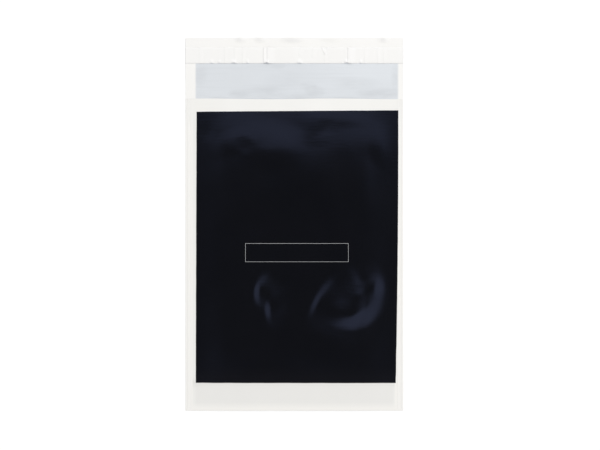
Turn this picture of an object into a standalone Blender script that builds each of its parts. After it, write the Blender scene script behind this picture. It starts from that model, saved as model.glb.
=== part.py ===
"""A flat, empty mailing bag of white film, lying face up with its closing flap open.

Metres, +Z up. X runs across the bag, +Y towards the flap. The origin is at the middle of the
outline, on the surface that the bag lies on.
"""

import math

import bmesh
import bpy

# The film, cut from one web
BAG_WIDTH = 0.250
BODY_LENGTH = 0.358  # bottom fold to the mouth's edge
FLAP_LENGTH = 0.070  # mouth's edge to the flap's free end
FILM = 0.00008
FOLD_CLEAR = 0.0004  # room left inside the bottom fold
FOLD_STEPS = 6

# The welds that close the two sides
WELD_WIDTH = 0.006
WELD_CLEAR = 0.00006  # how far apart the weld holds the two films
WELD_BEAD = 0.0001  # melted film that stands out past the cut edge
WELD_OVERRUN = 0.0006  # length of weld past the mouth, on the flap

# How the front panel lies over the back panel
SLACK = 0.0009  # usual room between the two films
SIDE_RISE = 0.042  # width over which the front panel leaves the weld
END_RISE = 0.030  # length over which it leaves the fold
MOUTH_CLEAR = 0.0005
MOUTH_WAVE = 0.00015
MOUTH_WAVES = 5

# The panel's crest, from which it falls evenly to the mouth
CREST = 0.3020  # from the bottom fold
CREST_START = 0.195  # where the panel starts to rise to it
CREST_RISE = 0.0013
CREST_WANDER = 0.0025
CREST_WANDER_LENGTH = 0.135
CREST_LEFT = 0.070  # widths over which it drops to either side
CREST_RIGHT = 0.055
CREST_ROUND = 0.07  # how soft the crest is, as a share of its way to the mouth

HUMP_TOP = 0.12  # share of a hump's half size that is level
# Air left in the bag lifts the front panel here: how far right of the middle and up from the
# bottom fold, half width, half length, turn in degrees, rise
HUMPS = (
    (0.064, 0.122, 0.044, 0.045, 0, 0.0010),
    (-0.013, 0.131, 0.034, 0.034, 0, 0.0004),
    (0.000, 0.262, 0.100, 0.050, 6, 0.0003),
    (-0.066, 0.072, 0.044, 0.034, 30, 0.0004),
    (0.020, 0.066, 0.060, 0.026, -6, 0.0003),
)
# Pleats round that air, each on an arc: right of the middle and up from the bottom fold, radius,
# the way it faces and half its spread in degrees, gentle inner and steep outer width, rise
PLEATS = (
    (0.0638, 0.1332, 0.0310, -41, 103, 0.026, 0.0112, 0.00134),
    (0.0638, 0.1332, 0.0325, 8, 42, 0.018, 0.0065, 0.00030),
    (0.1088, 0.0796, 0.0924, 148, 19, 0.028, 0.0100, 0.00122),
    (-0.0158, 0.1328, 0.0220, 173, 77, 0.021, 0.0122, 0.00148),
    (0.0345, 0.1132, 0.0600, 180, 20, 0.024, 0.0088, 0.00105),
)

# How the open flap lies
FLAP_WAVE = 0.0003
FLAP_WAVES = 4
# Curls in its free end: right of the middle, half width, rise
CURLS = (
    (-0.0619, 0.0085, 0.0018),
    (-0.0389, 0.0090, 0.0017),
    (-0.0016, 0.0170, 0.0020),
    (0.0420, 0.0140, 0.0007),
    (0.1028, 0.0075, 0.0018),
)
CURL_REACH = 0.0065  # length over which the end curls up

# Bare margins round the print on the front panel, and beside the print on the flap's outside
FRONT_LEFT_MARGIN = 0.0125
FRONT_RIGHT_MARGIN = 0.0070
FRONT_FOLD_MARGIN = 0.0320
FRONT_MOUTH_MARGIN = 0.0139
FLAP_END_MARGIN = 0.0200

# Bare margins round the print on the back panel
BACK_LEFT_MARGIN = 0.0082
BACK_RIGHT_MARGIN = 0.0098
BACK_FOLD_MARGIN = 0.0080
BACK_MOUTH_MARGIN = 0.0160

# The box for an address label, a thin line that the ink leaves bare
LABEL_LEFT = 0.0561  # left of the bag's middle
LABEL_RIGHT = 0.0619
LABEL_START = 0.1710  # from the bottom fold
LABEL_END = 0.1920
LABEL_LINE = 0.0004

# The strip that closes the flap
LINER_WIDTH = 0.0176
LINER_THICKNESS = 0.00005
LINER_FROM_END = 0.0110  # flap's free end to the liner
ADHESIVE_WIDTH = 0.012
ADHESIVE_SHORT = 0.006  # how far the adhesive stops before each side
ADHESIVE_THICKNESS = 0.0001
LAY_CLEAR = 0.0003  # clearance between things that lie on each other

# Creases across the liner: right of the middle, half width, rise
CREASES = (
    (-0.1078, 0.0050, 0.0002),
    (-0.0688, 0.0060, 0.0003),
    (-0.0351, 0.0014, 0.0005),
    (-0.0305, 0.0014, 0.0005),
    (0.0345, 0.0060, 0.0003),
    (0.0620, 0.0016, 0.0006),
    (0.0980, 0.0070, 0.0002),
)

# Spacing of the mesh lines
PITCH_ACROSS = 0.0075
PITCH_ALONG = 0.0090
PITCH_PLEATS = 0.0048
PITCH_FLAT = 0.060
PITCH_FLAP = 0.012
# Where the pleats lie: across the bag, and up from the bottom fold
PLEATS_ACROSS = (-0.042, 0.106)
PLEATS_ALONG = (0.090, 0.168)

HALF_WIDTH = BAG_WIDTH / 2
LENGTH = BODY_LENGTH + FLAP_LENGTH
FLAP_END = LENGTH / 2
BOTTOM = -LENGTH / 2
MOUTH = BOTTOM + BODY_LENGTH
LINER_TOP = FLAP_END - LINER_FROM_END
LINER_MIDDLE = LINER_TOP - LINER_WIDTH / 2

WHITE = (0.875, 0.870, 0.855)
INK = (0.0085, 0.0090, 0.0130)
ONE_FILM_OVER_INK = (0.725, 0.752, 0.780)
TWO_FILMS_OVER_INK = (0.800, 0.792, 0.770)
LINER_COLOUR = (0.920, 0.912, 0.895)
ADHESIVE_COLOUR = (0.780, 0.720, 0.560)


def smooth_step(value):
    """0 below 0, 1 above 1, and a smooth rise between."""
    held = min(max(value, 0.0), 1.0)
    return held * held * (3 - 2 * held)


def hump(x, y, middle_x, middle_y, half_x, half_y, turn, rise):
    """A rise with a level top, steepest between the top and its rim, and 0 outside the rim."""
    angle = math.radians(turn)
    right = x - middle_x
    up = y - (BOTTOM + middle_y)
    along = (right * math.cos(angle) + up * math.sin(angle)) / half_x
    across = (up * math.cos(angle) - right * math.sin(angle)) / half_y
    return rise * smooth_step((1 - math.hypot(along, across)) / (1 - HUMP_TOP))


def pleat(x, y, middle_x, middle_y, radius, facing, spread, inner, outer, rise):
    """A ridge along an arc, gentle towards the arc's middle and steep away from it."""
    right = x - middle_x
    up = y - (BOTTOM + middle_y)
    away = math.hypot(right, up) - radius
    turn = math.degrees(math.atan2(up, right)) - facing
    turn = abs((turn + 180) % 360 - 180)
    profile = smooth_step(1 + away / inner) if away < 0 else smooth_step(1 - away / outer)
    return rise * profile * smooth_step(1 - turn / spread)


def crest_rise(x, y):
    """How far the front panel lifts towards its crest."""
    inside = HALF_WIDTH - WELD_WIDTH - abs(x)
    beside = smooth_step(inside / (CREST_LEFT if x < 0 else CREST_RIGHT))
    return CREST_RISE * beside * smooth_step((y - BOTTOM - CREST_START) / (CREST - CREST_START))


def fall_to_mouth(x, y):
    """1 over most of the front panel, and an even fall to 0 between its crest and the mouth."""
    crest = CREST - CREST_WANDER * math.cos(2 * math.pi * x / CREST_WANDER_LENGTH)
    past = (y - BOTTOM - crest) / (BODY_LENGTH - crest)
    return 1 - CREST_ROUND * math.log1p(math.exp(past / CREST_ROUND))


def room(x, y):
    """The clear height between back panel and front panel."""
    side = smooth_step((HALF_WIDTH - WELD_WIDTH - abs(x)) / SIDE_RISE)
    bottom = smooth_step((y - BOTTOM) / END_RISE)
    air = sum(hump(x, y, *shape) for shape in HUMPS)
    air += sum(pleat(x, y, *shape) for shape in PLEATS) + crest_rise(x, y)
    near_mouth = MOUTH_CLEAR + MOUTH_WAVE * math.sin(MOUTH_WAVES * math.pi * x / HALF_WIDTH)
    height = near_mouth + (SLACK + air - near_mouth) * fall_to_mouth(x, y)
    height = FOLD_CLEAR + (height - FOLD_CLEAR) * bottom
    return WELD_CLEAR + (height - WELD_CLEAR) * side


def flap_rise(x, y):
    """How far the open flap stands off the surface under it."""
    out = smooth_step((y - MOUTH) / (FLAP_END - MOUTH - LINER_WIDTH - LINER_FROM_END))
    wave = 0.5 + 0.5 * math.cos(FLAP_WAVES * math.pi * x / HALF_WIDTH)
    return FLAP_WAVE * out * wave


def curl(x, y):
    """How far the flap's free end lifts past that."""
    end = smooth_step(1 - (FLAP_END - y) / CURL_REACH)
    return end * sum(rise * smooth_step(1 - abs(x - at) / half) for at, half, rise in CURLS)


def fold_radius(x):
    """Radius of the film's middle surface round the bottom fold."""
    return (room(x, BOTTOM) + FILM) / 2


def web_point(x, row):
    """A point of the film's middle surface. A row is a panel and its place along that panel."""
    panel, place = row
    radius = fold_radius(x)
    if panel == "back":
        return x, max(place, BOTTOM + radius), FILM / 2 + flap_rise(x, place) + curl(x, place)
    if panel == "fold":
        return x, BOTTOM + radius * (1 - math.sin(place)), FILM / 2 + radius * (1 - math.cos(place))
    return x, place, FILM * 1.5 + room(x, place)


def stations(start, end, borders, pitch, fine=(0, 0)):
    """Places from start to end, with one on each border and the rest evenly between.

    They are about a pitch apart, or PITCH_PLEATS where the middle between two borders is in fine.
    """
    marks = sorted({start, end, *(b for b in borders if min(start, end) < b < max(start, end))})
    places = [marks[0]]
    for low, high in zip(marks, marks[1:]):
        spacing = PITCH_PLEATS if fine[0] < (low + high) / 2 < fine[1] else pitch
        steps = max(1, round((high - low) / spacing))
        places += [low + (high - low) * step / steps for step in range(1, steps + 1)]
    return places if end > start else places[::-1]


def bent_sheet(name, columns, rows, point, slot=None):
    """A grid of faces with a corner at point(column, row), and slot(column, row) as face material."""
    mesh = bpy.data.meshes.new(name)
    grid = bmesh.new()
    bmesh.ops.create_grid(grid, x_segments=len(columns) - 1, y_segments=len(rows) - 1, size=1)
    for face in grid.faces:
        middle = face.calc_center_median()
        if slot:
            column = (middle.x + 1) / 2 * (len(columns) - 1)
            row = (middle.y + 1) / 2 * (len(rows) - 1)
            face.material_index = slot(int(column), int(row))
    for corner in grid.verts:
        column = round((corner.co.x + 1) / 2 * (len(columns) - 1))
        row = round((corner.co.y + 1) / 2 * (len(rows) - 1))
        corner.co = point(columns[column], rows[row])
    grid.to_mesh(mesh)
    grid.free()
    mesh.shade_smooth()
    return bpy.data.objects.new(name, mesh)


def thicken(sheet, thickness, inner_slots=0):
    """Gives a sheet its thickness, half to each side."""
    solid = sheet.modifiers.new("thickness", "SOLIDIFY")
    solid.thickness = thickness
    solid.offset = 0
    solid.use_even_offset = True
    solid.material_offset = inner_slots
    return solid


def material(name, colour, roughness):
    """A plain plastic surface."""
    made = bpy.data.materials.new(name)
    made.use_nodes = True
    shader = made.node_tree.nodes["Principled BSDF"]
    shader.inputs["Base Color"].default_value = (*colour, 1)
    shader.inputs["Roughness"].default_value = roughness
    shader.inputs["Metallic"].default_value = 0
    made.diffuse_color = (*colour, 1)
    return made


def label_lines():
    """The places across and along where the label box's line starts and ends."""
    half = LABEL_LINE / 2
    across = [middle + side * half for middle in (-LABEL_LEFT, LABEL_RIGHT) for side in (-1, 1)]
    along = [BOTTOM + middle + side * half for middle in (LABEL_START, LABEL_END) for side in (-1, 1)]
    return across, along


def front_print():
    """The left, right, lower and upper limits of the front panel's print."""
    left = FRONT_LEFT_MARGIN - HALF_WIDTH
    right = HALF_WIDTH - FRONT_RIGHT_MARGIN
    return left, right, BOTTOM + FRONT_FOLD_MARGIN, MOUTH - FRONT_MOUTH_MARGIN


def flap_print():
    """The limits of the print on the flap's outside, from the fold line at the mouth."""
    left, right = front_print()[:2]
    return left, right, MOUTH, FLAP_END - FLAP_END_MARGIN


def back_print():
    """The limits of the back panel's print."""
    left = BACK_LEFT_MARGIN - HALF_WIDTH
    right = HALF_WIDTH - BACK_RIGHT_MARGIN
    return left, right, BOTTOM + BACK_FOLD_MARGIN, MOUTH - BACK_MOUTH_MARGIN


def within(x, y, field):
    """True inside a field given as left, right, lower and upper limits."""
    left, right, low, high = field
    return left < x < right and low < y < high


def on_label_line(x, y):
    """True on the thin line round the label box, which the ink leaves out."""
    half = LABEL_LINE / 2
    right = max(x - LABEL_RIGHT, -LABEL_LEFT - x)
    up = max(y - (BOTTOM + LABEL_END), BOTTOM + LABEL_START - y)
    return abs(max(right, up)) < half


def print_slot(panel, x, y):
    """Which of the outer face's materials a place has: 0 bare, 1 inked, 2 bare with ink two films below."""
    if panel == "back":
        return int(within(x, y, back_print()) or within(x, y, flap_print()))
    if panel == "fold" or on_label_line(x, y):
        return 0
    if within(x, y, front_print()):
        return 1
    return 2 if within(x, y, back_print()) else 0


def film_rows():
    """The rows of the web in order: down the flap and back panel, round the fold and up the front."""
    back_marks = back_print()[2:]
    pleats = [BOTTOM + up for up in PLEATS_ALONG]
    front_marks = [*back_marks, *front_print()[2:], *label_lines()[1], *pleats]
    flap_marks = [*flap_print()[2:], FLAP_END - CURL_REACH, FLAP_END - CURL_REACH / 2]
    flap = stations(FLAP_END, MOUTH, flap_marks, PITCH_FLAP)
    back = stations(MOUTH, BOTTOM, back_marks, PITCH_FLAT)[1:]
    turns = [math.pi * step / FOLD_STEPS for step in range(1, FOLD_STEPS + 1)]
    front = stations(BOTTOM, MOUTH, front_marks, PITCH_ALONG, pleats)[1:]
    rows = [("back", y) for y in flap + back]
    rows += [("fold", turn) for turn in turns]
    return rows + [("front", y) for y in front]


def film_columns():
    """The places of the web's lengthwise lines, from the left edge to the right one."""
    weld = HALF_WIDTH - WELD_WIDTH
    borders = [-weld, weld, *front_print()[:2], *back_print()[:2], *label_lines()[0], *PLEATS_ACROSS]
    return stations(-HALF_WIDTH, HALF_WIDTH, borders, PITCH_ACROSS, PLEATS_ACROSS)


def weld_strip(name, side, cutters):
    """The melted film that fills the space between the two panels along one side."""
    bpy.ops.mesh.primitive_cube_add(size=1)
    strip = bpy.context.object
    strip.name = name
    bottom = BOTTOM + FILM / 2
    top = MOUTH + WELD_OVERRUN
    wide = WELD_WIDTH + WELD_BEAD
    strip.dimensions = (wide, top - bottom, WELD_CLEAR + FILM)
    middle = HALF_WIDTH + WELD_BEAD - wide / 2
    strip.location = (side * middle, (top + bottom) / 2, FILM + WELD_CLEAR / 2)
    for collection in strip.users_collection:
        collection.objects.unlink(strip)
    cutters.objects.link(strip)
    strip.hide_render = True
    strip.display_type = "WIRE"
    return strip


def make_bag_film(parts, cutters):
    """The folded and welded film, with its mouth open."""
    columns = film_columns()
    rows = film_rows()

    def slot(column, row):
        x = (columns[column] + columns[column + 1]) / 2
        panel, place = rows[row]
        next_panel, next_place = rows[row + 1]
        if panel != next_panel:
            return 0
        return print_slot(panel, x, (place + next_place) / 2)

    film = bent_sheet("bag_film", columns, rows, web_point, slot)
    bare = material("white_film", WHITE, 0.35)
    outer = [bare, material("inked_film", INK, 0.30)]
    outer.append(material("two_films_over_ink", TWO_FILMS_OVER_INK, 0.35))
    inner = [bare, material("one_film_over_ink", ONE_FILM_OVER_INK, 0.35), bare]
    for surface in outer + inner:
        film.data.materials.append(surface)
    parts.objects.link(film)
    thicken(film, FILM, len(outer))
    for side in (-1, 1):
        join = film.modifiers.new("weld", "BOOLEAN")
        join.operation = "UNION"
        join.solver = "EXACT"
        join.object = weld_strip("weld_left" if side < 0 else "weld_right", side, cutters)
    return film


def crease(x):
    """How far the liner's creases lift it at a place across the bag."""
    return sum(rise * smooth_step(1 - abs(x - at) / half) for at, half, rise in CREASES)


def make_adhesive_strip(parts):
    """The line of adhesive, laid on the flap and as wavy as the flap is."""
    half = HALF_WIDTH - ADHESIVE_SHORT
    lift = FILM + LAY_CLEAR + ADHESIVE_THICKNESS / 2
    columns = stations(-half, half, [], PITCH_ACROSS)
    edges = (-ADHESIVE_WIDTH / 2, ADHESIVE_WIDTH / 2)
    rows = [LINER_MIDDLE + edge for edge in edges]

    def point(x, y):
        return x, y, lift + flap_rise(x, y)

    strip = bent_sheet("adhesive_strip", columns, rows, point)
    strip.data.materials.append(material("adhesive", ADHESIVE_COLOUR, 0.45))
    parts.objects.link(strip)
    thicken(strip, ADHESIVE_THICKNESS)
    return strip


def make_release_liner(parts):
    """The peel-off strip over the adhesive, with its creases."""
    under = FILM + LAY_CLEAR + ADHESIVE_THICKNESS + LAY_CLEAR
    lift = under + LINER_THICKNESS / 2
    borders = [at + side * half for at, half, rise in CREASES for side in (-1, 0, 1)]
    columns = stations(-HALF_WIDTH, HALF_WIDTH, borders, PITCH_ACROSS / 2)
    rows = stations(LINER_TOP - LINER_WIDTH, LINER_TOP, [], LINER_WIDTH / 2)

    def point(x, y):
        return x, y, lift + flap_rise(x, y) + crease(x)

    liner = bent_sheet("release_liner", columns, rows, point)
    liner.data.materials.append(material("liner", LINER_COLOUR, 0.40))
    parts.objects.link(liner)
    thicken(liner, LINER_THICKNESS)
    return liner


def collection(name):
    """A new collection in the scene."""
    made = bpy.data.collections.new(name)
    bpy.context.scene.collection.children.link(made)
    return made


def main():
    for old in list(bpy.data.objects):
        bpy.data.objects.remove(old)
    parts = collection("poly_mailer_bag")
    cutters = collection("weld_shapes")
    make_bag_film(parts, cutters)
    make_adhesive_strip(parts)
    make_release_liner(parts)


main()
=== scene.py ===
"""The looks of an empty mailing bag of white film, seen from straight above.

Metres, +Z up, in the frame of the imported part: X across the bag, +Y towards the flap's free end.
"""

import math

import bmesh
import bpy
import numpy as np
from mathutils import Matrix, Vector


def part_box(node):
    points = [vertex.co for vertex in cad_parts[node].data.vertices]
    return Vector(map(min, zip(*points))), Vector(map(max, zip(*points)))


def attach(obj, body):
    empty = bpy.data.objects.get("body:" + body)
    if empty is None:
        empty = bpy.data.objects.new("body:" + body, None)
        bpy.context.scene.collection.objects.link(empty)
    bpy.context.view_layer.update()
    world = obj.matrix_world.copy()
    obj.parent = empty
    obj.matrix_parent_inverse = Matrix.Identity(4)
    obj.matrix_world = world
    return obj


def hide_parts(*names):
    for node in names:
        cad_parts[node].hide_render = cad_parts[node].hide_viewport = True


# The photograph's frame
PHOTO_WIDTH = 600
PHOTO_HEIGHT = 450
METRES_PER_PIXEL = 0.250 / 217.8
BAG_MIDDLE_PIXEL = (294.4, 224.25)
CAMERA_HEIGHT = 1.5
SENSOR = 0.036

# Sizes that the solids were made with
FILM = 0.00008
FOLD_CLEAR = 0.0004  # room left inside the bottom fold
BODY_LENGTH = 0.358  # bottom fold to the mouth's edge
WELD_WIDTH = 0.006
WELD_CLEAR = 0.00006  # how far apart the weld holds the two films
WELD_BEAD = 0.0001  # how far the solid's weld stands out past the cut edge
SLACK = 0.0009  # usual room between the two films
SIDE_RISE = 0.042  # width over which the front panel leaves the weld
END_RISE = 0.030  # length over which it leaves the fold
MOUTH_CLEAR = 0.0005
MOUTH_WAVE = 0.00015
MOUTH_WAVES = 5
# The front panel's crest: how far up from the bottom fold it lies, where the panel starts to rise
# to it, how high it stands, how far it wanders, and the widths over which it drops to either side
CREST = 0.3020
CREST_START = 0.195
CREST_RISE = 0.0013
CREST_WANDER = 0.0025
CREST_WANDER_LENGTH = 0.135
CREST_LEFT = 0.070
CREST_RIGHT = 0.062
CREST_ROUND = 0.07  # how soft the crest is, as a share of its way to the mouth
HUMP_TOP = 0.12  # share of a hump's half size that is level
# Air left in the bag lifts the front panel here: right of the middle, up from the bottom fold,
# half width, half length, turn in degrees, rise
HUMPS = (
    (0.0575, 0.0986, 0.0387, 0.0336, 0, 0.00066),
    (-0.0179, 0.1296, 0.0446, 0.0239, 0, 0.00022),
    (0.000, 0.262, 0.100, 0.050, 6, 0.0003),
    (-0.066, 0.072, 0.044, 0.034, 30, 0.0004),
    (0.020, 0.066, 0.060, 0.026, -6, 0.0003),
)
# Shallow rises and dents between the crest and the mouth, given as the humps are
DIMPLES = (
    (0.0257, 0.3414, 0.0339, 0.0209, 60, 0.00080),
    (0.0422, 0.3395, 0.0572, 0.0123, -11, 0.00028),
    (-0.0673, 0.3096, 0.0600, 0.0174, 21, 0.00024),
    (-0.0580, 0.3054, 0.0139, 0.0119, -18, -0.00022),
    (-0.0217, 0.3434, 0.0600, 0.0299, -26, -0.00050),
    (-0.1043, 0.3208, 0.0143, 0.0149, 60, -0.00038),
    (0.1090, 0.3112, 0.0594, 0.0350, -34, 0.00044),
    (0.1060, 0.3042, 0.0230, 0.0350, 16, 0.00080),
    (0.0224, 0.3162, 0.0274, 0.0152, -7, 0.00018),
    (-0.0283, 0.3060, 0.0515, 0.0350, -15, 0.00049),
    (0.0289, 0.3402, 0.0561, 0.0219, -2, 0.00052),
)
# Swellings in the front panel that drop steeply past an arc: right of the middle, up from the
# bottom fold, radius, the way each faces in degrees, how far behind the arc's middle its gentle
# back starts and how long that is, the drop's width, rise
DOMES = (
    (0.0643, 0.1371, 0.0247, -37, 0.0158, 0.0406, 0.0225, 0.00147),
    (0.0638, 0.1295, 0.0160, -35.5, 0.0199, 0.0494, 0.0110, 0.00021),
)
# Sharper pleats in the front panel, each on an arc: right of the middle, up from the bottom fold,
# radius, the way it faces and half its spread in degrees, gentle inner and steep outer width, rise
PLEATS = (
    (0.0646, 0.1344, 0.0299, 17.2, 29.9, 0.0180, 0.0180, 0.00059),
    (0.1603, 0.0558, 0.1461, 151.7, 16.4, 0.0514, 0.0129, 0.00150),
    (-0.0053, 0.1332, 0.0325, 170.9, 46.7, 0.0180, 0.0111, 0.00121),
    (0.0345, 0.1164, 0.0598, 177.1, 30.2, 0.0220, 0.0112, 0.00119),
    (0.0191, 0.1304, 0.0508, 5.3, 47.8, 0.0205, 0.0135, 0.00091),
    (0.0354, 0.1283, 0.0445, 5.6, 13.3, 0.0180, 0.0106, 0.00017),
)
# Faint waves all over the front panel
DRAPE_WAVES = 9
DRAPE_LENGTHS = (0.028, 0.085)
DRAPE_RISE = 0.000030
DRAPE_SEED = 11
MOUTH_SWAY = 0.0004  # how far the mouth's edge wanders, and how long and where its wave is
MOUTH_SWAY_LENGTH = 0.146
MOUTH_SWAY_START = 0.044
# Thin ridges along each side weld: how far in from the cut edge, half width and rise
WELD_RIDGES = ((0.0020, 0.0007, 0.00013), (0.0064, 0.0009, 0.00012))
FLAP_WAVE = 0.0003
FLAP_WAVES = 4
# Curls in the flap's free end: right of the middle, half width, rise
CURLS = (
    (-0.0619, 0.0085, 0.0018),
    (-0.0389, 0.0090, 0.0017),
    (-0.0016, 0.0170, 0.0020),
    (0.0420, 0.0140, 0.0007),
    (0.1028, 0.0075, 0.0018),
)
CURL_REACH = 0.0065  # length over which the end curls up
LINER_THICKNESS = 0.00005
ADHESIVE_THICKNESS = 0.0001
LAY_CLEAR = 0.00004  # between things that lie on each other
LINER_DROOP = 0.0022  # how far in from its long edges the liner bends down past the adhesive
LINER_LOWER = 0.0009  # how far the liner's lower edge reaches past its solid's, towards the mouth
# Creases across the liner: right of the middle at its lower edge, lean, widths to the left and
# to the right, rise, and how far up from the lower edge each one starts
CREASES = (
    (-0.1078, 0.0, 0.0030, 0.0040, 0.00018, 0.0),
    (-0.0802, 0.0, 0.0007, 0.0050, 0.00018, 0.0),
    (-0.0688, 0.0, 0.0009, 0.0060, 0.00022, 0.0),
    (-0.0596, 0.0, 0.0007, 0.0046, 0.00018, 0.0),
    (-0.0350, 0.0, 0.0014, 0.0044, 0.00066, 0.0),
    (-0.0307, 0.0, 0.0016, 0.0090, 0.00080, 0.0),
    (0.0028, 0.22, 0.0009, 0.0050, 0.00018, 0.008),
    (0.0196, 0.10, 0.0009, 0.0050, 0.00018, 0.006),
    (0.0388, -0.40, 0.0008, 0.0036, 0.00038, 0.009),
    (0.0306, 0.41, 0.0009, 0.0026, 0.00050, 0.009),
    (0.0346, 0.0, 0.0007, 0.0040, 0.00016, 0.0),
    (0.0587, 0.0, 0.0026, 0.0030, 0.00012, 0.0),
    (0.0620, 0.0, 0.0016, 0.0090, 0.00080, 0.0),
    (0.0805, 0.0, 0.0008, 0.0050, 0.00018, 0.0),
    (0.0954, 0.0, 0.0008, 0.0040, 0.00018, 0.0),
    (0.1023, 0.0, 0.0008, 0.0040, 0.00016, 0.0),
)
CREASE_FADE = 0.003  # length over which a crease that starts further up begins
# Places where the liner's lower edge stands off the film: right of the middle, half width, rise
EDGE_LIFTS = (
    (-0.0952, 0.0032, 0.0006),
    (-0.0860, 0.0026, 0.0005),
    (-0.0699, 0.0042, 0.0008),
    (-0.0538, 0.0026, 0.0006),
    (-0.0320, 0.0036, 0.0010),
    (0.0059, 0.0044, 0.0007),
    (0.0598, 0.0034, 0.0010),
    (0.0759, 0.0026, 0.0006),
)
LIFT_REACH = 0.006  # how far up from that edge it stands off
LIFT_BACK = 0.9  # how far the edge draws back there, for each metre of lift
# The box for an address label: left, right, and start and end from the bottom fold
LABEL_BOX = (-0.0561, 0.0619, 0.1710, 0.1920)
LABEL_LINE = 0.00025  # width of its line
LABEL_CALM = 0.018  # how far round it the faint waves die down

# The print's edges, as left, right, start and end: where each one is at the bag's middle, how far
# it leans for each metre along, and how much it bends
FRONT_PRINT = (
    (-0.1127, 0.0030, 0.0),
    (0.1189, 0.0077, -0.0351),
    (0.0319, -0.0010, 0.0),
    (0.3440, 0.0070, 0.0),
)
BACK_PRINT = ((-0.1168, 0.0, 0.0), (0.1152, 0.0, 0.0), (0.0080, 0.0, 0.0), (0.3420, 0.0, 0.0))
FLAP_PRINT = ((-0.1133, 0.0, 0.0), (0.1190, 0.0, 0.0), (0.3560, 0.0, 0.0), (0.4080, 0.0, 0.0))
PRINT_WANDER = 0.0005  # how far a print's edges stray
PRINT_SOFT = 0.0004  # how soft an edge is, and then one that shows through the film
PRINT_SOFT_UNDER_FLAP = 0.0020
PRINT_SOFT_UNDER_BACK = 0.0015
PRINT_SOFT_UNDER_FRONT = 0.0012
LABEL_SOFT = 0.0002
# Patches of painted shade in the flap's grey band: right of the middle, up from the fold, half
# sizes, and how much of the darkest tone
SHADE_PATCHES = (
    (-0.0620, 0.3637, 0.0160, 0.0055, 1.1),
    (-0.0330, 0.3660, 0.0270, 0.0075, 0.9),
    (0.0000, 0.3615, 0.0260, 0.0040, 0.7),
    (0.0160, 0.3725, 0.0110, 0.0065, 0.8),
    (0.0240, 0.3660, 0.0130, 0.0080, 0.8),
    (0.0971, 0.3645, 0.0290, 0.0070, 1.1),
    (0.0700, 0.3760, 0.0330, 0.0080, 0.5),
    (-0.1085, 0.3860, 0.0100, 0.0150, 0.7),
    (0.1160, 0.3830, 0.0060, 0.0200, 0.5),
    (-0.0125, 0.3790, 0.0260, 0.0130, 0.45),
    (-0.0190, 0.3960, 0.0100, 0.0050, 0.6),
)

# Colours as a shader takes them
OUTER_WHITE = (0.908, 0.893, 0.858)
LABEL_WHITE = (0.640, 0.645, 0.650)
# Painted shade: the front panel's white before the mouth, a little darker
UPPER_SHADE_WHITE = (0.876, 0.867, 0.832)
INNER_WHITE = (0.922, 0.910, 0.879)
TWO_FILMS_OVER_INK = (0.838, 0.829, 0.801)
THIN_OVER_INK = (0.858, 0.854, 0.823)
ONE_FILM_OVER_INK = (0.720, 0.746, 0.768)
INK = (0.0033, 0.0035, 0.0043)
INK_LIGHT = (0.0062, 0.0061, 0.0072)
SHEEN = (0.46, 0.56, 1.0)  # tint of what the surfaces mirror
LINER_WHITE = (0.910, 0.899, 0.872)
ADHESIVE = (0.780, 0.720, 0.560)
FLOOR = (0.92, 0.92, 0.92)
FLOOR_GLOW = 0.14  # added where the camera, a mirror or a see-through thing shows the floor

# Bands of the front panel, each given as its start, how soft that is, its end, how soft that is.
# In from the cut edge: the sealing bar's dots, and two lines of painted shade along the weld's
# ridges
WELD_DOTS = (0.0022, 0.0006, 0.0060, 0.0006)
OUTER_SHADE_LINE = (0.0016, 0.0004, 0.0029, 0.0006)
INNER_SHADE_LINE = (0.0058, 0.0006, 0.0072, 0.0008)
INNER_LINE_SHARE = 0.5
WELD_DOT = 0.0008  # width of one dot
# Up from the bottom fold: a band of painted shade just under the print's lower edge
SHADE_BAND = (0.0290, 0.007, 0.036, 0.006)
# Soft edges, each given as its place and how soft it is
# Past this edge the front panel's white is painted shade
UPPER_SHADE_EDGE = (0.025, 0.02)  # before the mouth: past it the white is a little darker
SIDE_EDGE = (0.0115, 0.0030)  # in from the cut edge: nearer to it the print shows through less
FOLD_EDGE = (0.0060, 0.0075)  # up from the bottom fold: past it the back's print shows through
THIN_EDGE = (0.041, 0.020)  # up from the bottom fold: nearer to it the ink is thinner
# On the flap's inside: how far right and how far past the mouth the grey clears up, and how far
# right the streaks end
CLEAR_SIDE_EDGE = (0.035, 0.05)
CLEAR_MOUTH_EDGE = (0.017, 0.020)
STREAK_SIDE_EDGE = (0.045, 0.16)
# Which part of the noise makes a streak or a patch, both painted shade
STREAK_CUT = (0.54, 0.14)
SHADE_PATCH_CUT = (0.42, 0.4)
# How much lighter or darker some places are than the colour round them; all but the cleared grey
# are painted shade
SHADE_BAND_TONE = 0.94
LINE_SHADE = 0.940
CLEAR_SHADE = 1.015
STREAK_SHADE = 0.95
SHADE_PATCH_TONE = 0.87

# How rough each surface is, and how strongly they all bend light
FRONT_ROUGHNESS = 0.16
BACK_ROUGHNESS = 0.12
INNER_ROUGHNESS = 0.30
GLUE_ROUGHNESS = 0.35
LINER_ROUGHNESS = 0.30
FILM_IOR = 1.5
# Waves a metre, across and along the bag: of cloudy film, of uneven ink, of the film's ripples and
# grain, of the streaks and patches of painted shade on the flap's inside, and of the glue
CLOUD_WAVES = (28, 22)
INK_WAVES = (14, 11)
INK_CLOUD_SHARE = 0.7  # of the soft patches, and of the thin edge, in the lighter ink
INK_EDGE_SHARE = 0.9
RIPPLE_WAVES = (60, 420)
GRAIN_WAVES = (900, 900)
GRAIN_SHARE = 0.25
FRONT_DOTS_SHARE = 0.8  # of the weld's dots in a panel's relief
BACK_DOTS_SHARE = 0.5
STREAK_WAVES = (10, 230)
SHADE_PATCH_WAVES = (45, 160)
GLUE_WAVES = (300, 900)
SIDE_EDGE_WAVES = (25, 60)
CROSS_EDGE_WAVES = (45, 20)

# The white tent's opening above the bag, in degrees from straight up
TENT_OPENING = 15
TENT_SOFT = 0.022
TENT_LIGHT = 0.850
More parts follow.
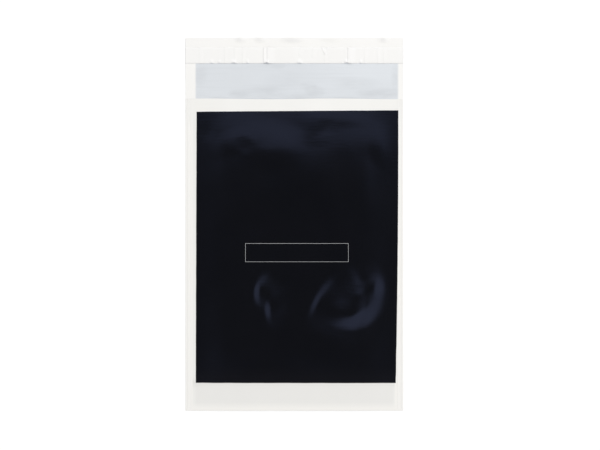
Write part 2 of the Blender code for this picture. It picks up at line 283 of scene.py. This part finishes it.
# The veil over the part of the opening that lies towards the flap, from so many degrees on
VEIL_START = 5.8
VEIL_SOFT = 0.035
VEIL_TURN = 4  # how far the veil's lower edge is turned towards the right
VEIL_LIGHT = 0.63
OPENING_LIGHT = 0.02
FLOOR_SIZE = 12
FLOOR_DROP = 0.0002  # how far it lies under the bag
# A soft lamp beyond the flap, to the right
LAMP_POWER = 40
LAMP_PLACE = (1.5, 2.1, 2.0)
LAMP_SIZE = 1.2

# Spacing of the mesh lines
PITCH = 0.0019
FLAP_PITCH = 0.0015
COARSE_PITCH = 0.030
# Stretches of the front panel, up from the bottom fold: where each one ends, and its pitch
FRONT_ROWS = ((0.085, 0.0026), (0.175, 0.0013), (0.292, 0.0028), (BODY_LENGTH, 0.0016))
SIDE_PITCH = 0.0004
SIDE_BAND = 0.008  # how far in from each side the mesh is that fine
LINER_PITCH = 0.00022
LINER_ROW_PITCH = 0.00088
FOLD_STEPS = 8

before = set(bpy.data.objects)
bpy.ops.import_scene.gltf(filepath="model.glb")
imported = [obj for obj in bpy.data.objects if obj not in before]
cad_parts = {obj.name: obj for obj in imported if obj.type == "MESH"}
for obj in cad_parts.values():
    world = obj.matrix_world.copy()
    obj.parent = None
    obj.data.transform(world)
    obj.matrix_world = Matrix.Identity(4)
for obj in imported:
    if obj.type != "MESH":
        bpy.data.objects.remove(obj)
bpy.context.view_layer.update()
low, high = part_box("bag_film")
HALF_WIDTH = high.x - WELD_BEAD
BOTTOM = low.y
FLAP_END = high.y
MOUTH = BOTTOM + BODY_LENGTH
liner_low, liner_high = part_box("release_liner")
LINER_START = liner_low.y - LINER_LOWER
glue_low, glue_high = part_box("adhesive_strip")


def smooth_step(value):
    """0 below 0, 1 above 1, and a smooth rise between."""
    held = np.clip(value, 0.0, 1.0)
    return held * held * (3 - 2 * held)


def hump(x, y, middle_x, middle_y, half_x, half_y, turn, rise):
    """A rise with a level top, steepest between the top and its rim, and 0 outside the rim."""
    angle = math.radians(turn)
    right = x - middle_x
    up = y - (BOTTOM + middle_y)
    along = (right * math.cos(angle) + up * math.sin(angle)) / half_x
    across = (up * math.cos(angle) - right * math.sin(angle)) / half_y
    return rise * smooth_step((1 - np.hypot(along, across)) / (1 - HUMP_TOP))


def calm(x, y):
    """0 inside the label box, rising to 1 a little way outside it."""
    left, right, start, end = LABEL_BOX
    beside = np.maximum(np.maximum(x - right, left - x), 0)
    beyond = np.maximum(np.maximum(y - BOTTOM - end, BOTTOM + start - y), 0)
    return smooth_step(np.hypot(beside, beyond) / LABEL_CALM)


def pleat(x, y, middle_x, middle_y, radius, facing, spread, inner, outer, rise):
    """A ridge along an arc, gentle towards the arc's middle and steep away from it."""
    right = x - middle_x
    up = y - (BOTTOM + middle_y)
    away = np.hypot(right, up) - radius
    turn = np.degrees(np.arctan2(up, right)) - facing
    turn = np.abs((turn + 180) % 360 - 180)
    profile = np.where(away < 0, smooth_step(1 + away / inner), smooth_step(1 - away / outer))
    return rise * profile * smooth_step(1 - turn / spread)


def dome(x, y, middle_x, middle_y, radius, facing, behind, back, outer, rise):
    """A swelling that rises gently the way it faces and drops steeply past its arc."""
    turn = math.radians(facing)
    right = x - middle_x
    up = y - (BOTTOM + middle_y)
    toward = right * math.cos(turn) + up * math.sin(turn)
    drop = smooth_step(1 - (np.hypot(right, up) - radius) / outer)
    return rise * drop * smooth_step((toward + behind) / back)


def drape(x, y):
    """Faint long waves, as thin film has where nothing pulls it flat."""
    draw = np.random.default_rng(DRAPE_SEED)
    total = 0
    for _ in range(DRAPE_WAVES):
        turn = draw.uniform(0, math.pi)
        length = draw.uniform(*DRAPE_LENGTHS)
        along = (x * math.cos(turn) + y * math.sin(turn)) / length
        total = total + np.sin(2 * math.pi * along + draw.uniform(0, 2 * math.pi))
    return DRAPE_RISE * total


def crest_place(x):
    """How far up from the bottom fold the front panel's crest lies."""
    return CREST - CREST_WANDER * np.cos(2 * math.pi * x / CREST_WANDER_LENGTH)


def crest_rise(x, y):
    """How far the panel lifts towards its crest."""
    inside = HALF_WIDTH - WELD_WIDTH - np.abs(x)
    beside = smooth_step(inside / np.where(x < 0, CREST_LEFT, CREST_RIGHT))
    return CREST_RISE * beside * smooth_step((y - BOTTOM - CREST_START) / (CREST - CREST_START))


def fall_to_mouth(x, y):
    """1 over most of the front panel, and an even fall to 0 between its crest and the mouth."""
    crest = crest_place(x)
    past = (y - BOTTOM - crest) / (BODY_LENGTH - crest)
    return 1 - CREST_ROUND * np.logaddexp(0, past / CREST_ROUND)


def weld_ridge(x):
    """Height of the thin ridges that the sealing bar leaves along both sides."""
    inward = HALF_WIDTH - np.abs(x)
    return sum(rise * smooth_step(1 - np.abs(inward - at) / half) for at, half, rise in WELD_RIDGES)


def room(x, y):
    """The clear height between back panel and front panel."""
    side = smooth_step((HALF_WIDTH - WELD_WIDTH - np.abs(x)) / SIDE_RISE)
    bottom = smooth_step((y - BOTTOM) / END_RISE)
    air = sum(hump(x, y, *shape) for shape in HUMPS + DIMPLES)
    air = air + sum(dome(x, y, *shape) for shape in DOMES)
    air = air + sum(pleat(x, y, *shape) for shape in PLEATS) + crest_rise(x, y)
    air = air + drape(x, y) * calm(x, y)
    near_mouth = MOUTH_CLEAR + MOUTH_WAVE * np.sin(MOUTH_WAVES * math.pi * x / HALF_WIDTH)
    height = near_mouth + (SLACK + air - near_mouth) * fall_to_mouth(x, y)
    height = FOLD_CLEAR + (height - FOLD_CLEAR) * bottom
    return WELD_CLEAR + (height - WELD_CLEAR) * side + weld_ridge(x)


def mouth_sway(x, y):
    """How far the front panel's film wanders up and down the bag near its mouth."""
    near = smooth_step(1 - (MOUTH - y) / (BODY_LENGTH - CREST))
    return MOUTH_SWAY * near * np.cos(2 * math.pi * (x - MOUTH_SWAY_START) / MOUTH_SWAY_LENGTH)


def flap_rise(x, y):
    """How far the open flap stands off the surface under it."""
    out = smooth_step((y - MOUTH) / (liner_low.y - MOUTH))
    wave = 0.5 + 0.5 * np.cos(FLAP_WAVES * math.pi * x / HALF_WIDTH)
    return FLAP_WAVE * out * wave


def curl(x, y):
    """How far the flap's free end lifts past that."""
    end = smooth_step(1 - (FLAP_END - y) / CURL_REACH)
    return end * sum(rise * smooth_step(1 - np.abs(x - at) / half) for at, half, rise in CURLS)


def crease(x, y):
    """How far the liner's creases and its loose lower edge raise it."""
    up = y - LINER_START
    total = 0
    for at, lean, left, right, rise, start in CREASES:
        away = x - (at + lean * up)
        shape = smooth_step(1 - np.where(away < 0, -away / left, away / right))
        begun = smooth_step((up - start) / CREASE_FADE) if start else 1.0
        total = total + rise * shape * begun
    return total + edge_lift(x, y)


def edge_lift(x, y):
    """How far the liner's lower edge stands off where it has come loose."""
    near = smooth_step(1 - (y - LINER_START) / LIFT_REACH)
    lifts = (rise * smooth_step(1 - np.abs(x - at) / half) for at, half, rise in EDGE_LIFTS)
    return near * sum(lifts)


def spaced(start, end, pitch):
    """Places from start to end, evenly spaced at about the pitch."""
    return np.linspace(start, end, max(2, round(abs(end - start) / pitch) + 1))


def bent_sheet(name, columns, rows, point, slot=None):
    """A grid of faces whose corner at column i and row j is at point(i, j)."""
    across, along = len(columns) - 1, len(rows) - 1
    grid = bmesh.new()
    bmesh.ops.create_grid(grid, x_segments=across, y_segments=along, size=1)
    mesh = bpy.data.meshes.new(name)
    grid.to_mesh(mesh)
    grid.free()
    flat = np.zeros(len(mesh.vertices) * 3)
    mesh.vertices.foreach_get("co", flat)
    flat = flat.reshape(-1, 3)
    i = np.round((flat[:, 0] + 1) / 2 * across).astype(int)
    j = np.round((flat[:, 1] + 1) / 2 * along).astype(int)
    mesh.vertices.foreach_set("co", point(i, j).astype(np.float32).ravel())
    if slot:
        corner = np.zeros(len(mesh.loops), int)
        mesh.loops.foreach_get("vertex_index", corner)
        rows_of = j[corner].reshape(-1, 4).min(axis=1)
        mesh.polygons.foreach_set("material_index", slot(rows_of).astype(np.int32))
    mesh.shade_smooth()
    mesh.update()
    piece = bpy.data.objects.new(name, mesh)
    bpy.context.scene.collection.objects.link(piece)
    return piece


def thicken(sheet, thickness, inner_slots=0):
    """Gives a sheet its thickness, half to each side."""
    solid = sheet.modifiers.new("thickness", "SOLIDIFY")
    solid.thickness = thickness
    solid.offset = 0
    solid.use_even_offset = True
    solid.material_offset = inner_slots
    # Keeps the thin rim from bending the light on the faces beside it
    sheet.modifiers.new("even_shading", "WEIGHTED_NORMAL").mode = "FACE_AREA"


class Number:
    """A number in a material's node tree, with Python's arithmetic."""

    def __init__(self, tree, socket):
        self.tree = tree
        self.socket = socket

    def made(self, operation, *others, clamp=False):
        """The result of a math node on this number and others."""
        node = self.tree.nodes.new("ShaderNodeMath")
        node.operation = operation
        node.use_clamp = clamp
        for place, value in zip(node.inputs, (self, *others)):
            if isinstance(value, Number):
                self.tree.links.new(value.socket, place)
            else:
                place.default_value = value
        return Number(self.tree, node.outputs[0])

    def __add__(self, other):
        return self.made("ADD", other)

    def __sub__(self, other):
        return self.made("SUBTRACT", other)

    def __mul__(self, other):
        return self.made("MULTIPLY", other)

    def __truediv__(self, other):
        return self.made("DIVIDE", other)

    def over(self, limit, soft):
        """0 well below the limit, 1 well above it, over a width of soft."""
        return ((self - limit) / soft).made("ADD", 0.5, clamp=True)

    def under(self, limit, soft):
        """1 well below the limit, 0 well above it."""
        return self.over(limit, soft).flipped()

    def flipped(self):
        """1 less this number."""
        return self.made("MULTIPLY_ADD", -1.0, 1.0)

    def between(self, start, start_soft, end, end_soft):
        """1 between two limits, each with its softness, and 0 outside them."""
        return self.over(start, start_soft) * self.under(end, end_soft)


def shaded(colour, share):
    """A colour with each channel at that share."""
    return tuple(channel * share for channel in colour)


def curve(along, edge):
    """Where a print edge lies at a place along it."""
    place, lean, bend = edge
    return (along * bend + lean) * along + place


class Surface:
    """A film material that is built up from its place on the bag."""

    def __init__(self, name, roughness):
        self.material = bpy.data.materials.new(name)
        self.material.use_nodes = True
        self.tree = self.material.node_tree
        self.shader = self.tree.nodes["Principled BSDF"]
        self.shader.inputs["Roughness"].default_value = roughness
        self.shader.inputs["IOR"].default_value = FILM_IOR
        self.shader.inputs["Specular Tint"].default_value = (*SHEEN, 1)
        place = self.tree.nodes.new("ShaderNodeTexCoord")
        split = self.tree.nodes.new("ShaderNodeSeparateXYZ")
        self.place = place.outputs["Object"]
        self.tree.links.new(self.place, split.inputs[0])
        self.x = Number(self.tree, split.outputs[0])
        self.y = Number(self.tree, split.outputs[1])

    def inward(self):
        """How far in from the nearer cut edge."""
        return self.x.made("ABSOLUTE") * -1.0 + HALF_WIDTH

    def noise(self, waves, detail=3.0, roughness=0.5, shift=0.0):
        """Noise of about 0 to 1 with these waves a metre. The shift picks the place in it."""
        across, along = waves
        scale = self.tree.nodes.new("ShaderNodeMapping")
        scale.inputs["Scale"].default_value = (across, along, 1)
        scale.inputs["Location"].default_value = (shift, shift / 2, 0)
        self.tree.links.new(self.place, scale.inputs[0])
        node = self.tree.nodes.new("ShaderNodeTexNoise")
        node.inputs["Scale"].default_value = 1
        node.inputs["Detail"].default_value = detail
        node.inputs["Roughness"].default_value = roughness
        self.tree.links.new(scale.outputs[0], node.inputs["Vector"])
        return Number(self.tree, node.outputs["Fac"])

    def mix(self, share, first, second):
        """A colour between two, each a colour or a socket."""
        node = self.tree.nodes.new("ShaderNodeMix")
        node.data_type = "RGBA"
        factor, start, end = (s for s in node.inputs if s.enabled)
        self.tree.links.new(share.socket, factor)
        for place, colour in ((start, first), (end, second)):
            if isinstance(colour, tuple):
                place.default_value = (*colour, 1)
            else:
                self.tree.links.new(colour, place)
        return next(s for s in node.outputs if s.enabled)

    def colour(self, socket):
        """Gives the surface its colour."""
        self.tree.links.new(socket, self.shader.inputs["Base Color"])

    def bump(self, height, depth):
        """Gives the surface its finest relief."""
        node = self.tree.nodes.new("ShaderNodeBump")
        node.inputs["Strength"].default_value = 1
        node.inputs["Distance"].default_value = depth
        self.tree.links.new(height.socket, node.inputs["Height"])
        self.tree.links.new(node.outputs[0], self.shader.inputs["Normal"])

    def field(self, edges, soft=PRINT_SOFT, wander=0.0):
        """1 inside a printed field and 0 outside. Its edges may wander a little."""
        left, right, start, end = edges
        x, y = self.x, self.y
        if wander:
            x = x + (self.noise(SIDE_EDGE_WAVES, detail=2, shift=13.0) - 0.5) * wander
            y = y + (self.noise(CROSS_EDGE_WAVES, detail=2, shift=17.0) - 0.5) * wander
        inside = x.over(curve(self.y, left), soft) * x.under(curve(self.y, right), soft)
        inside = inside * y.over(curve(self.x, start) + BOTTOM, soft)
        return inside * y.under(curve(self.x, end) + BOTTOM, soft)

    def blob(self, middle_x, middle_y, half_x, half_y):
        """1 in the middle of a soft patch, falling to 0 at its rim."""
        across = (self.x - middle_x) / half_x
        along = (self.y - (BOTTOM + middle_y)) / half_y
        return (across * across + along * along).made("MULTIPLY_ADD", -1.0, 1.0, clamp=True)


def mottled(surface, colour, amount, shift):
    """A colour with faint cloudy patches, as uneven film has."""
    cloud = surface.noise(CLOUD_WAVES, detail=4, roughness=0.6, shift=shift)
    return surface.mix(cloud, shaded(colour, 1 - amount), colour)


def ripple(surface):
    """The fine ripples and grain that the film has everywhere."""
    fine = surface.noise(RIPPLE_WAVES, roughness=0.55, shift=3.0)
    grain = surface.noise(GRAIN_WAVES, detail=2, shift=7.0)
    return fine + grain * GRAIN_SHARE


def weld_texture(surface):
    """The pressed dots of the sealing bar, along both sides only."""
    across = (surface.x * (math.pi / WELD_DOT)).made("SINE")
    along = (surface.y * (math.pi / WELD_DOT)).made("SINE")
    return surface.inward().between(*WELD_DOTS) * across * along


def uneven_ink(surface, shift):
    """Ink whose coat is a little thinner in soft patches and towards the bottom fold."""
    cloud = surface.noise(INK_WAVES, detail=4, roughness=0.6, shift=shift)
    edge, soft = THIN_EDGE
    thin = surface.y.under(BOTTOM + edge, soft)
    return surface.mix(cloud * INK_CLOUD_SHARE + thin * INK_EDGE_SHARE, INK, INK_LIGHT)


def label_outline(surface):
    """1 on the label box's line, 0 elsewhere."""
    left, right, start, end = LABEL_BOX
    half = LABEL_LINE / 2
    outer = (left - half, right + half, start - half, end + half)
    inner = (left + half, right - half, start + half, end - half)
    whole, hole = ([(place, 0, 0) for place in edges] for edges in (outer, inner))
    return surface.field(whole, LABEL_SOFT) - surface.field(hole, LABEL_SOFT)


def bare_front(film):
    """The front panel's white, darker where the back's print lies under it."""
    # Painted shade: the white before the mouth is a little darker
    edge, soft = UPPER_SHADE_EDGE
    white = film.mix(film.y.over(MOUTH - edge, soft), OUTER_WHITE, UPPER_SHADE_WHITE)
    over_ink = mottled(film, TWO_FILMS_OVER_INK, 0.03, shift=2.5)
    over_ink = film.mix(film.inward().under(*SIDE_EDGE), over_ink, THIN_OVER_INK)
    # Painted shade: a darker band just under the print's lower edge
    start, start_soft, end, end_soft = SHADE_BAND
    shade_band = film.y.between(BOTTOM + start, start_soft, BOTTOM + end, end_soft)
    over_ink = film.mix(shade_band, over_ink, shaded(TWO_FILMS_OVER_INK, SHADE_BAND_TONE))
    # Painted shade: two darker lines along the weld's ridges
    line = film.inward().between(*OUTER_SHADE_LINE)
    line = line + film.inward().between(*INNER_SHADE_LINE) * INNER_LINE_SHARE
    white = film.mix(line, white, shaded(OUTER_WHITE, LINE_SHADE))
    left, right, _, end = BACK_PRINT
    under = film.field((left, right, (0, 0, 0), end), PRINT_SOFT_UNDER_FRONT, PRINT_WANDER)
    edge, soft = FOLD_EDGE
    return film.mix(under * film.y.over(BOTTOM + edge, soft), white, over_ink)


def front_surface():
    """The front panel's outside, with its print and label box."""
    film = Surface("front_film", FRONT_ROUGHNESS)
    ink = film.mix(label_outline(film), uneven_ink(film, shift=4.0), LABEL_WHITE)
    printed = film.field(FRONT_PRINT, wander=PRINT_WANDER)
    film.colour(film.mix(printed, bare_front(film), ink))
    film.bump(ripple(film) + weld_texture(film) * FRONT_DOTS_SHARE, depth=0.00003)
    return film.material


def back_surface():
    """The outside of back panel and flap, with their print."""
    film = Surface("back_film", BACK_ROUGHNESS)
    colour = mottled(film, OUTER_WHITE, 0.02, shift=2.0)
    ink = uneven_ink(film, shift=9.0)
    for edges in (BACK_PRINT, FLAP_PRINT):
        colour = film.mix(film.field(edges, wander=PRINT_WANDER), colour, ink)
    film.colour(colour)
    film.bump(ripple(film) + weld_texture(film) * BACK_DOTS_SHARE, depth=0.00005)
    return film.material


def inner_surface():
    """The film's inside, where print on the other face shows through as grey, with painted shade.
    """
    film = Surface("inner_film", INNER_ROUGHNESS)
    bare = mottled(film, INNER_WHITE, 0.02, shift=5.0)
    edge, soft = CLEAR_MOUTH_EDGE
    clear = film.x.over(*CLEAR_SIDE_EDGE) * film.y.over(MOUTH + edge, soft)
    grey = mottled(film, ONE_FILM_OVER_INK, 0.05, shift=6.0)
    grey = film.mix(clear, grey, shaded(ONE_FILM_OVER_INK, CLEAR_SHADE))
    # Painted shade: the grey is darker along the streaks, whose relief the bump also gives
    streaks = film.noise(STREAK_WAVES, roughness=0.6, shift=21.0)
    shade_streaked = streaks.over(*STREAK_CUT) * film.x.under(*STREAK_SIDE_EDGE)
    grey = film.mix(shade_streaked, grey, shaded(ONE_FILM_OVER_INK, STREAK_SHADE))
    # Painted shade: darker patches in the grey band
    patches = [film.blob(*place) * share for *place, share in SHADE_PATCHES]
    broken = film.noise(SHADE_PATCH_WAVES, roughness=0.6, shift=23.0).over(*SHADE_PATCH_CUT)
    shade_patched = sum(patches[1:], patches[0]) * broken
    grey = film.mix(shade_patched, grey, shaded(ONE_FILM_OVER_INK, SHADE_PATCH_TONE))
    shown = film.mix(film.field(BACK_PRINT, PRINT_SOFT_UNDER_BACK), bare, grey)
    over_flap = film.field(FLAP_PRINT, PRINT_SOFT_UNDER_FLAP, PRINT_WANDER)
    film.colour(film.mix(over_flap, shown, grey))
    film.bump(ripple(film) + streaks, depth=0.00004)
    return film.material


def make_film():
    """The folded film: flap, back panel, bottom fold and front panel as one sheet."""
    band = HALF_WIDTH - SIDE_BAND
    columns = [spaced(-HALF_WIDTH, -band, SIDE_PITCH), spaced(-band, band, PITCH)[1:-1]]
    columns = np.concatenate([*columns, spaced(band, HALF_WIDTH, SIDE_PITCH)])
    turns = np.linspace(0, math.pi, FOLD_STEPS + 1)[1:]
    flap = spaced(FLAP_END, MOUTH, FLAP_PITCH)
    back = spaced(MOUTH, BOTTOM, COARSE_PITCH)[1:]
    front, start = [], 0
    for end, pitch in FRONT_ROWS:
        front.append(spaced(BOTTOM + start, BOTTOM + end, pitch)[1:])
        start = end
    front = np.concatenate(front)
    place = np.concatenate([flap, back, turns, front])
    panel = np.repeat([0, 0, 1, 2], [len(flap), len(back), len(turns), len(front)])

    def point(i, j):
        x, at, kind = columns[i], place[j], panel[j]
        radius = (room(x, np.full_like(x, BOTTOM)) + FILM) / 2
        back_z = FILM / 2 + flap_rise(x, at) + curl(x, at)
        fold_y = BOTTOM + radius * (1 - np.sin(at))
        fold_z = FILM / 2 + radius * (1 - np.cos(at))
        front_z = FILM * 1.5 + room(x, at)
        y = np.choose(kind, [np.maximum(at, BOTTOM + radius), fold_y, at + mouth_sway(x, at)])
        z = np.choose(kind, [back_z, fold_z, front_z])
        return np.stack([x, y, z], axis=1)

    def slot(row):
        return np.where(panel[row] == 2, 0, 1)

    film = bent_sheet("mailer_film", columns, place, point, slot)
    inner = inner_surface()
    for surface in (front_surface(), back_surface(), inner, inner):
        film.data.materials.append(surface)
    thicken(film, FILM, 2)
    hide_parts("bag_film")
    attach(film, "root")


def make_adhesive():
    """The line of adhesive under the liner."""
    columns = spaced(glue_low.x, glue_high.x, PITCH)
    rows = spaced(glue_low.y, glue_high.y, PITCH)
    lift = FILM + LAY_CLEAR + ADHESIVE_THICKNESS / 2

    def point(i, j):
        x, y = columns[i], rows[j]
        return np.stack([x, y, lift + flap_rise(x, y)], axis=1)

    strip = bent_sheet("glue_line", columns, rows, point)
    glue = Surface("glue", GLUE_ROUGHNESS)
    glue.colour(mottled(glue, ADHESIVE, 0.15, shift=8.0))
    glue.bump(glue.noise(GLUE_WAVES), depth=0.0001)
    strip.data.materials.append(glue.material)
    thicken(strip, ADHESIVE_THICKNESS)
    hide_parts("adhesive_strip")
    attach(strip, "root")


def make_liner():
    """The peel-off strip, with its creases and its loose lower edge."""
    columns = spaced(liner_low.x, liner_high.x, LINER_PITCH)
    rows = spaced(LINER_START, liner_high.y, LINER_ROW_PITCH)

    def point(i, j):
        x, y = columns[i], rows[j]
        inside = np.minimum(y - LINER_START, liner_high.y - y)
        lift = FILM + LAY_CLEAR + LINER_THICKNESS / 2
        lift = lift + (ADHESIVE_THICKNESS + LAY_CLEAR) * smooth_step(inside / LINER_DROOP)
        drawn = y + LIFT_BACK * edge_lift(x, y)
        return np.stack([x, drawn, lift + flap_rise(x, y) + crease(x, y)], axis=1)

    strip = bent_sheet("liner_strip", columns, rows, point)
    liner = Surface("liner_film", LINER_ROUGHNESS)
    liner.colour(mottled(liner, LINER_WHITE, 0.02, shift=11.0))
    liner.bump(ripple(liner), depth=0.00002)
    strip.data.materials.append(liner.material)
    thicken(strip, LINER_THICKNESS)
    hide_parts("release_liner")
    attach(strip, "root")


def make_camera():
    """Straight above, at the photograph's scale, with the bag where the photograph has it."""
    data = bpy.data.cameras.new("camera")
    camera = bpy.data.objects.new("camera", data)
    bpy.context.scene.collection.objects.link(camera)
    data.sensor_fit = "HORIZONTAL"
    data.sensor_width = SENSOR * 1000
    data.lens = SENSOR * 1000 * CAMERA_HEIGHT / (PHOTO_WIDTH * METRES_PER_PIXEL)
    right = (PHOTO_WIDTH / 2 - BAG_MIDDLE_PIXEL[0]) * METRES_PER_PIXEL
    up = (BAG_MIDDLE_PIXEL[1] - PHOTO_HEIGHT / 2) * METRES_PER_PIXEL
    camera.location = (right, up, CAMERA_HEIGHT)
    bpy.context.scene.camera = camera


def make_floor():
    """A white floor that keeps the bag's shadow."""
    bpy.ops.mesh.primitive_plane_add(size=FLOOR_SIZE, location=(0, 0, -FLOOR_DROP))
    floor = bpy.context.object
    floor.name = "floor"
    material = bpy.data.materials.new("floor")
    material.use_nodes = True
    tree = material.node_tree
    tree.nodes.clear()
    out = tree.nodes.new("ShaderNodeOutputMaterial")
    diffuse = tree.nodes.new("ShaderNodeBsdfDiffuse")
    diffuse.inputs["Color"].default_value = (*FLOOR, 1)
    glow = tree.nodes.new("ShaderNodeEmission")
    path = tree.nodes.new("ShaderNodeLightPath")
    seen = Number(tree, path.outputs["Is Camera Ray"])
    seen = seen + Number(tree, path.outputs["Is Glossy Ray"])
    seen = seen + Number(tree, path.outputs["Is Transmission Ray"])
    strength = seen.made("MULTIPLY", FLOOR_GLOW)
    tree.links.new(strength.socket, glow.inputs["Strength"])
    both = tree.nodes.new("ShaderNodeAddShader")
    tree.links.new(diffuse.outputs[0], both.inputs[0])
    tree.links.new(glow.outputs[0], both.inputs[1])
    tree.links.new(both.outputs[0], out.inputs["Surface"])
    floor.data.materials.append(material)


def make_world():
    """A white tent with a dark opening straight above, where the camera looks in."""
    world = bpy.data.worlds.new("tent")
    bpy.context.scene.world = world
    world.use_nodes = True
    tree = world.node_tree
    background = tree.nodes["Background"]
    background.inputs["Color"].default_value = (1, 1, 1, 1)
    place = tree.nodes.new("ShaderNodeTexCoord")
    split = tree.nodes.new("ShaderNodeSeparateXYZ")
    tree.links.new(place.outputs["Generated"], split.inputs[0])
    turn = math.radians(VEIL_TURN)
    toward_top = Number(tree, split.outputs[1]) * math.cos(turn)
    toward_top = toward_top + Number(tree, split.outputs[0]) * math.sin(turn)
    height = Number(tree, split.outputs[2])
    wall = height.under(math.cos(math.radians(TENT_OPENING)), TENT_SOFT)
    veil = toward_top.over(math.sin(math.radians(VEIL_START)), VEIL_SOFT)
    light = wall * TENT_LIGHT + veil * wall.flipped() * VEIL_LIGHT + OPENING_LIGHT
    path = tree.nodes.new("ShaderNodeLightPath")
    camera = Number(tree, path.outputs["Is Camera Ray"])
    shown = camera + light * camera.flipped()
    tree.links.new(shown.socket, background.inputs["Strength"])


def make_lamp(name, place, size, power):
    """A square soft lamp that faces the bag."""
    data = bpy.data.lights.new(name, "AREA")
    data.shape = "SQUARE"
    data.size = size
    data.energy = power
    lamp = bpy.data.objects.new(name, data)
    bpy.context.scene.collection.objects.link(lamp)
    lamp.location = place
    lamp.rotation_euler = lamp.location.to_track_quat("Z", "Y").to_euler()


make_film()
make_adhesive()
make_liner()
make_camera()
make_floor()
make_world()
make_lamp("lamp_right", LAMP_PLACE, LAMP_SIZE, LAMP_POWER)
scene = bpy.context.scene
scene.view_settings.view_transform = "Standard"
